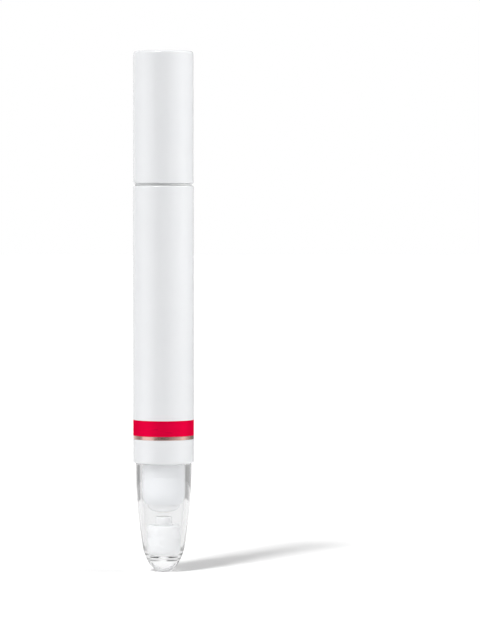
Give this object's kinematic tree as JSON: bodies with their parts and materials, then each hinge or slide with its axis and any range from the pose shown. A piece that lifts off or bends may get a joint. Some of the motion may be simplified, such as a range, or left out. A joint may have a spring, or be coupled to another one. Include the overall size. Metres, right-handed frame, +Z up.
{
  "type": "nail oil pen",
  "caption": "Slim valve pen for nail oil, with a pull-off cap over a press-to-feed felt tip, an oil vial in its barrel and a clear end cover that stores spare tips.",
  "frame": {"origin": "centre of the flat foot of the end cover, on which the pen stands", "axes": "+Z up the pen, from the clear end cover towards the cap; the pen is round about Z"},
  "size_m": [0.015, 0.015, 0.1284],
  "materials": {
    "white_gloss": "glossy white moulded plastic",
    "clear": "clear glossy moulded plastic",
    "red_film": "glossy red transfer film",
    "copper_foil": "copper-toned metallic foil",
    "natural_plastic": "natural satin plastic",
    "tip_plastic": "smooth milky plastic",
    "vial_plastic": "natural translucent plastic",
    "elastomer": "dark smooth elastomer",
    "spring_steel": "bright spring steel",
    "felt": "white fibre felt",
    "oil": "clear amber oil"
  },
  "bodies": {
    "pen_body": {"barrel": "white_gloss", "red_band": "red_film", "copper_line": "copper_foil", "front_section": "natural_plastic", "valve_gasket": "elastomer", "valve_housing": "natural_plastic", "valve_spring": "spring_steel", "vial_gasket": "elastomer", "oil_vial": "vial_plastic", "oil_charge": "oil", "end_plug": "white_gloss", "spare_holder_upper": "tip_plastic", "spare_nib_upper": "felt"},
    "cap_unit": {"cap_shell": "white_gloss", "cap_liner": "natural_plastic"},
    "plunger_unit": {"plunger": "natural_plastic", "plunger_ring": "elastomer", "valve_head": "natural_plastic"},
    "tip_unit": {"nib_holder": "tip_plastic", "nib": "felt"},
    "cover_unit": {"end_cover": "clear", "spare_holder_lower": "tip_plastic", "spare_nib_lower": "felt"}
  },
  "joints": [
    {"name": "cap_pull", "type": "slide", "parent": "pen_body", "child": "cap_unit", "axis": [0, 0, 1], "range_m": [0, 0.04]},
    {"name": "end_cover_pull", "type": "slide", "parent": "pen_body", "child": "cover_unit", "axis": [0, 0, -1], "range_m": [0, 0.03]},
    {"name": "tip_press", "type": "slide", "parent": "pen_body", "child": "plunger_unit", "axis": [0, 0, -1], "range_m": [0, 0.0012], "stiffness_N_per_m": 500, "springref_m": -0.002, "deforming": ["valve_spring"]},
    {"name": "tip_release", "type": "slide", "parent": "plunger_unit", "child": "tip_unit", "axis": [0, 0, 1], "range_m": [0, 0.0022]}
  ]
}
